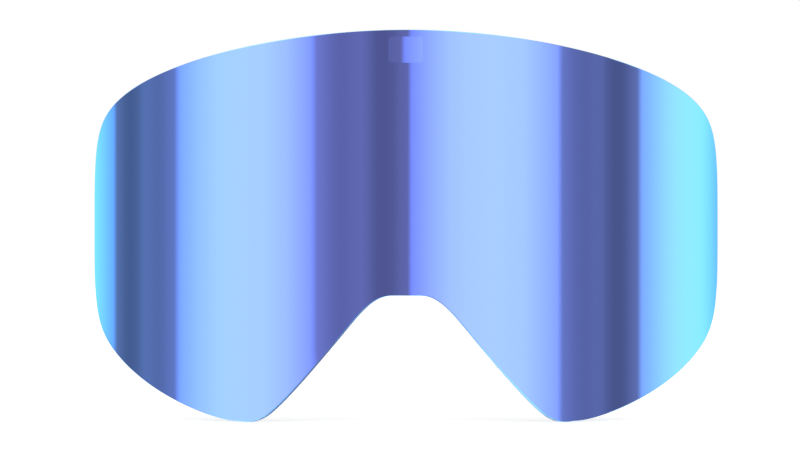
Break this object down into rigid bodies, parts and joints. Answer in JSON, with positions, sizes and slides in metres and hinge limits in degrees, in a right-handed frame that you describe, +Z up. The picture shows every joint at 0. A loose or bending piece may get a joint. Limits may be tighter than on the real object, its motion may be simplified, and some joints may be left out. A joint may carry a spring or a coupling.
{
  "type": "ski goggle lens",
  "caption": "Oversize mirrored cylindrical ski goggle lens with a nose notch, a sealed inner lens behind it and a magnetic carrier ring round its back.",
  "frame": {"origin": "middle of the brow magnet's rear face, where the lens seats on a frame", "axes": "+X to the viewer's right as the mirrored front is seen, which is the wearer's left; +Y from the mirrored front towards the wearer's face; +Z up"},
  "size_m": [0.18, 0.0522, 0.1097],
  "materials": {
    "mirror_lens": "polycarbonate with a polished blue and violet mirror coating on its front",
    "tape": "grey acrylic foam bonding tape",
    "carrier": "satin moulded black nylon",
    "magnet": "bright nickel plating",
    "foam": "closed-cell charcoal foam",
    "clear_lens": "clear cellulose propionate with an anti-fog coat",
    "porous_plug": "white sintered porous plastic"
  },
  "bodies": {
    "root": {"front_lens": "mirror_lens", "carrier_tape": "tape", "lens_carrier": "carrier", "magnet_brow": "magnet", "magnet_nose": "magnet", "magnet_crown_right": "magnet", "magnet_crown_left": "magnet", "magnet_shoulder_right": "magnet", "magnet_shoulder_left": "magnet", "magnet_temple_right": "magnet", "magnet_temple_left": "magnet", "magnet_cheek_right": "magnet", "magnet_cheek_left": "magnet", "foam_gasket": "foam", "inner_lens": "clear_lens", "breather_plug": "porous_plug"}
  },
  "joints": []
}
